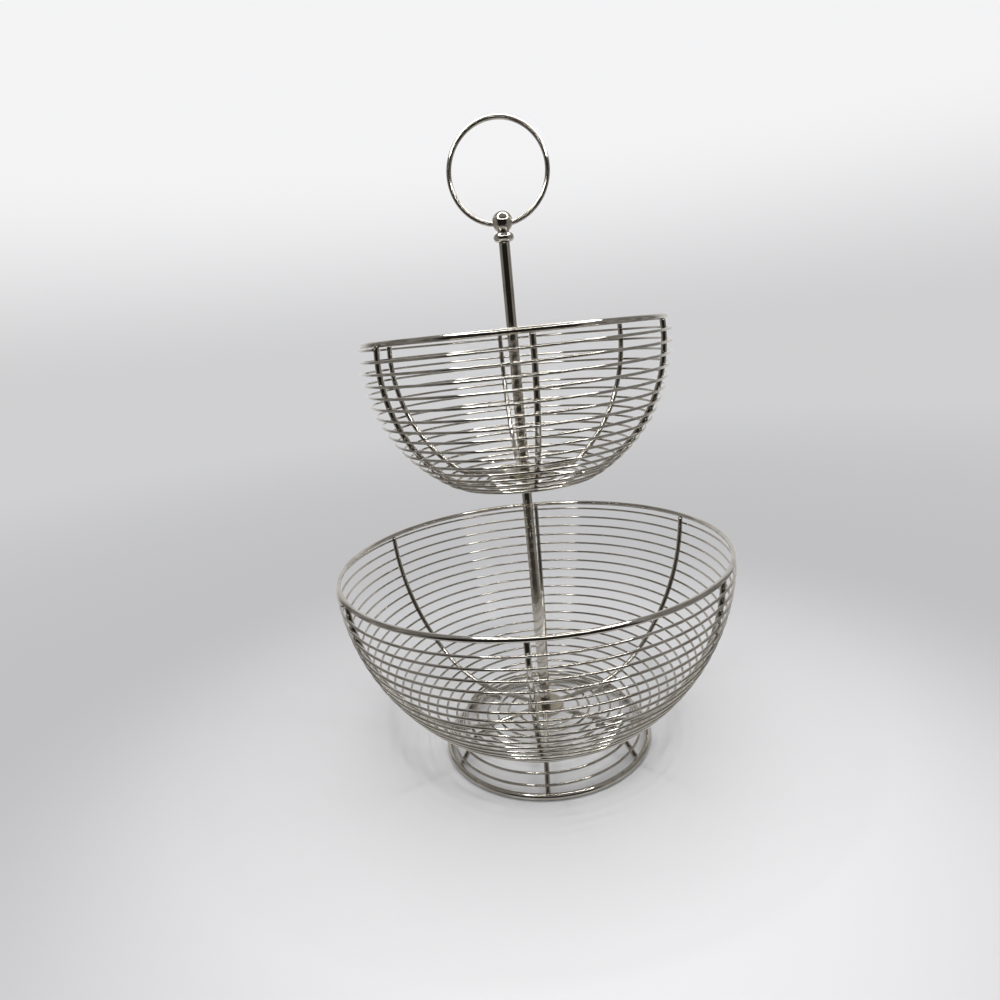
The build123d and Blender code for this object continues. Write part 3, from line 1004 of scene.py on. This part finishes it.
@dataclass
class Finial:
    """The bead, the ball with its neck and stud, and the ring handle in its sides."""

    base: float
    bead_radius: float = 7.35 * MM
    bead_face: float = 4.4 * MM
    bead_height: float = 6.4 * MM
    ball_radius: float = 7.4 * MM
    neck_radius: float = 4.2 * MM
    neck_height: float = 1.0 * MM
    stud_radius: float = 2.5 * MM
    stud_length: float = 12.0 * MM
    bore: float = 2.55 * MM
    handle_radius: float = 34.0 * MM
    handle_drop: float = 1.7 * MM
    handle_seat: float = 2.75 * MM
    bead_points: int = 21
    ball_points: int = 33
    handle_points: int = 200
    gauges: WireGauges = WireGauges()

    def build(self) -> None:
        """Build and dress the finial."""
        self._bead()
        self._ball()
        self._handle()

    @property
    def ball_height(self) -> float:
        """Height of the ball's centre above the bead's base."""
        return self.bead_height + self.neck_height + sqrt(self.ball_radius**2 - self.neck_radius**2)

    def _bead(self) -> None:
        """The round bead on the pole's end."""
        half = self.bead_height / 2
        bulge = self.bead_radius - self.bead_face
        round_radius = (half**2 + bulge**2) / (2 * bulge)
        centre = self.bead_radius - round_radius
        limit = asin(half / round_radius)
        angles = np.linspace(-limit, limit, self.bead_points)
        outline = [(self.bore, 0)] + Layout.arc((centre, half), round_radius, angles)
        outline.append((self.bore, self.bead_height))
        bead = MeshMaker.turned("collar_bead_turned", outline, self.base, Facets.FINIAL)
        Dresser.dress(bead, Body.STAND, Slot.FINIAL, Finishes.turned, "collar_bead")

    def _ball(self) -> None:
        """The ball, its neck and its stud."""
        top, neck = self.ball_height, self.bead_height
        outline = [(0, -self.stud_length), (self.stud_radius, -self.stud_length)]
        outline += [(self.stud_radius, neck), (self.neck_radius, neck)]
        start = -asin(sqrt(1 - (self.neck_radius / self.ball_radius) ** 2))
        angles = np.linspace(start, pi / 2, self.ball_points)[:-1]
        outline += Layout.arc((0, top), self.ball_radius, angles)
        outline.append((0, top + self.ball_radius))
        ball = MeshMaker.turned("finial_ball_turned", outline, self.base, Facets.FINIAL)
        Dresser.dress(ball, Body.STAND, Slot.FINIAL, Finishes.turned, "finial_ball")

    def _handle(self) -> None:
        """The open ring whose ends sit in the ball."""
        height = self.base + self.ball_height - self.handle_drop + self.handle_radius
        gap = asin((self.ball_radius - self.handle_seat) / self.handle_radius)
        angles = np.linspace(-pi / 2 + gap, 3 * pi / 2 - gap, self.handle_points)
        places = Layout.arc((0, height), self.handle_radius, angles)
        points = np.array([(x, 0.0, z) for x, z in places])
        gauge = self.gauges.handle - self.gauges.trim
        ring = MeshMaker.wire("ring_handle_wire", points, gauge, Facets.HANDLE)
        Dresser.dress(ring, Body.STAND, Slot.HANDLE, Finishes.handle, "ring_handle")


@dataclass
class Studio:
    """Plain pale floor, a light tent, a ring lamp overhead and the camera."""

    floor_tone: Triple = (0.79, 0.79, 0.8)
    floor_roughness: float = 0.42
    floor_specular: float = 0.35
    floor_drop: float = 0.1 * MM
    floor_rings: tuple[float, ...] = (20.0, 6.0, 2.0, 0.8, 0.3, 0.0)
    floor_fade: Pair = (0.2, 0.55)
    # A band of painted shade on the far floor just beyond the lit sheet, darkest near it and fading out to
    # the horizon tone.
    shade_band_tone: Triple = (0.53, 0.53, 0.54)
    shade_band_fade: Pair = (0.4, 2.2)
    horizon_tone: Triple = (0.63, 0.63, 0.64)
    horizon_fade: Pair = (-0.02, 0.24)
    wall_tone: Triple = (0.9, 0.9, 0.91)
    back_tone: Triple = (0.8, 0.8, 0.81)
    side_dark: Triple = (0.1, 0.096, 0.088)
    side_pale: Triple = (0.42, 0.41, 0.4)
    side_crumple: float = 7.0
    crumple_fold: Pair = (0.35, 0.65)
    back_fade: Pair = (0.45, 0.8)
    roof_fade: Pair = (0.6, 0.85)
    opening_fade: Pair = (-0.5, -0.7)
    opening_top: Pair = (0.7, 0.5)
    roof_tone: Triple = (0.3, 0.3, 0.3)
    opening_tone: Triple = (0.02, 0.018, 0.015)
    tent_light: Triple = (0.58, 0.58, 0.585)
    sheet_edge: Pair = (0.26, 0.299)
    focal_pixels: float = 662.0
    image_pixels: float = 1000.0
    sensor: float = 36.0
    nearest: float = 0.01
    farthest: float = 60.0
    distance: float = 496.12 * MM
    height: float = 330.82 * MM
    yaw: float = -0.0425
    pitch: float = -0.2458
    roll: float = -0.1001
    object_turn: float = 3.0
    ring_centre: Triple = (0.05, -0.18, 0.56)
    ring_radius: float = 0.21
    ring_width: float = 16 * MM
    ring_lamps: int = 24
    ring_power: float = 2.5

    def build(self) -> None:
        """Set up floor, world, lamps and camera."""
        self._floor()
        self._world()
        self._ring_lamp()
        self._camera()
        bpy.context.scene.view_settings.view_transform = "Standard"

    def _tent(self, writer: NodeWriter, way: Socket) -> Socket:
        """The tent's inside as the metal mirrors it: pale back, crumpled sides, dark front.

        Args:
            writer: Where the nodes go.
            way: An output with the direction that is looked in, about one long.

        Returns:
            An output with the tent's colour in that direction.
        """
        _, ahead, up = writer.put("ShaderNodeSeparateXYZ", way)
        crumple = writer.put("ShaderNodeTexNoise", Vector=way, Scale=self.side_crumple, Detail=4.0)["Fac"]
        sides = writer.blend(writer.step(crumple, *self.crumple_fold), self.side_dark, self.side_pale)
        walls = writer.blend(writer.step(ahead, *self.back_fade), sides, self.back_tone)
        covered = writer.blend(writer.step(up, *self.roof_fade), walls, self.roof_tone)
        shares = (writer.step(ahead, *self.opening_fade), writer.step(up, *self.opening_top))
        opening = writer.put("ShaderNodeMath", *shares, operation="MULTIPLY")["Value"]
        return writer.blend(opening, covered, self.opening_tone)

    def _floor(self) -> None:
        """A pale sheet that fades into the far tone, so that no edge shows; just beyond the sheet the far
        floor carries a band of painted shade.
        """
        made = bpy.data.materials.new("pale_sheet")
        made.use_nodes = True
        writer = NodeWriter(made.node_tree)
        shader = made.node_tree.nodes["Principled BSDF"]
        looks = {"Roughness": self.floor_roughness, "Specular_IOR_Level": self.floor_specular}
        writer.fill(shader, Base_Color=self.floor_tone, **looks)
        place = writer.put("ShaderNodeTexCoord")["Object"]
        length = writer.put("ShaderNodeVectorMath", place, operation="LENGTH")["Value"]
        way = writer.put("ShaderNodeVectorMath", place, operation="NORMALIZE")["Vector"]
        seen = writer.put("ShaderNodeLightPath")["Is Camera Ray"]
        edges = {"A": writer.step(length, *self.sheet_edge), "B": writer.step(length, *self.floor_fade)}
        far = writer.put("ShaderNodeMix", Factor=seen, **edges)["Result"]
        # Painted shade: seen by the camera, the far floor is darker just beyond the lit sheet and brightens
        # towards the horizon tone.
        backdrop = writer.blend(writer.step(length, *self.shade_band_fade), self.shade_band_tone, self.horizon_tone)
        tone = writer.blend(seen, self._tent(writer, way), backdrop)
        glow = writer.put("ShaderNodeEmission", tone)["Emission"]
        mix = writer.put("ShaderNodeMixShader", far, shader.outputs["BSDF"], glow)["Shader"]
        writer.fill(made.node_tree.nodes["Material Output"], Surface=mix)
        rings = [(radius, 0.0) for radius in self.floor_rings]
        floor = MeshMaker.turned("studio_floor", rings, 0.0, Facets.FLOOR, closed=False)
        floor.location.z = -self.floor_drop
        floor.data.materials.append(made)

    def _world(self) -> None:
        """A pale backdrop for the camera, the tent for the metal, and its light for the floor."""
        world = bpy.data.worlds.new("pale_tent")
        bpy.context.scene.world = world
        world.use_nodes = True
        writer = NodeWriter(world.node_tree)
        way = writer.put("ShaderNodeTexCoord")["Generated"]
        height = writer.put("ShaderNodeSeparateXYZ", way)["Z"]
        backdrop = writer.blend(writer.step(height, *self.horizon_fade), self.horizon_tone, self.wall_tone)
        rays = writer.put("ShaderNodeLightPath")
        lit = writer.blend(rays["Is Diffuse Ray"], self._tent(writer, way), self.tent_light)
        shown = writer.blend(rays["Is Camera Ray"], lit, backdrop)
        writer.fill(world.node_tree.nodes["Background"], Color=shown)

    def _ring_lamp(self) -> None:
        """Narrow lamps end to end in a ring overhead."""
        for number in range(self.ring_lamps):
            angle = 2 * pi * number / self.ring_lamps
            data = bpy.data.lights.new(f"ring_lamp_{number + 1}", "AREA")
            data.shape = "RECTANGLE"
            data.size = 2 * pi * self.ring_radius / self.ring_lamps
            data.size_y = self.ring_width
            data.energy = self.ring_power / self.ring_lamps
            lamp = bpy.data.objects.new(data.name, data)
            lamp.location = np.add(self.ring_centre, Layout.around(angle, self.ring_radius, 0))
            lamp.rotation_euler = (0, 0, angle + pi / 2)
            lamp.visible_camera = False
            bpy.context.scene.collection.objects.link(lamp)

    def _camera(self) -> None:
        """The camera, where the photograph's ellipses put it."""
        ahead = Vector((sin(self.yaw) * cos(self.pitch), cos(self.yaw) * cos(self.pitch), sin(self.pitch)))
        level = Vector((cos(self.yaw), -sin(self.yaw), 0))
        upright = level.cross(ahead)
        right = cos(self.roll) * level + sin(self.roll) * upright
        above = -sin(self.roll) * level + cos(self.roll) * upright
        turned = Matrix((right, above, -ahead)).transposed().to_4x4()
        turned.translation = Vector((0, -self.distance, self.height))
        data = bpy.data.cameras.new("photo_camera")
        data.sensor_fit = "HORIZONTAL"
        data.sensor_width = self.sensor
        data.lens = self.sensor * self.focal_pixels / self.image_pixels
        data.clip_start = self.nearest
        data.clip_end = self.farthest
        camera = bpy.data.objects.new("photo_camera", data)
        camera.matrix_world = Matrix.Rotation(radians(self.object_turn), 4, "Z") @ turned
        bpy.context.scene.collection.objects.link(camera)
        bpy.context.scene.camera = camera


LOWER_SHAPE = BowlShape(
    rim_radius=150.0 * MM,
    rim_height=161.0 * MM,
    belly_radius=151.8 * MM,
    belly_height=165.4 * MM,
    wall_radius=165.0 * MM,
    corner_radius=90.0 * MM,
    floor_height=23.4 * MM,
    turns=24,
    end_radius=23.5 * MM,
    first_rib_angle=-90.0,
)
UPPER_SHAPE = BowlShape(
    rim_radius=108.0 * MM,
    rim_height=331.3 * MM,
    belly_radius=111.8 * MM,
    belly_height=318.2 * MM,
    wall_radius=106.8 * MM,
    corner_radius=25.3 * MM,
    floor_height=222.6 * MM,
    turns=20,
    end_radius=22.0 * MM,
    first_rib_angle=-81.0,
)


def main() -> None:
    """Build every sub-assembly in order, from the camera up to the finial."""
    logging.basicConfig(level=logging.INFO, format="%(name)s: %(message)s")
    Studio().build()
    lower = WireBowl("lower", Body.STAND, LOWER_SHAPE)
    upper = WireBowl("upper", Body.UPPER, UPPER_SHAPE)
    foot = SplayedFoot("foot", Body.STAND, LOWER_SHAPE)
    pole = CentralPole(lower.hub_height, upper.hub_height, upper.hub_thickness)
    finial = Finial(pole.upper_base + pole.upper_length)
    for assembly in (lower, upper, foot, pole, finial):
        assembly.build()


if __name__ == "__main__":
    main()
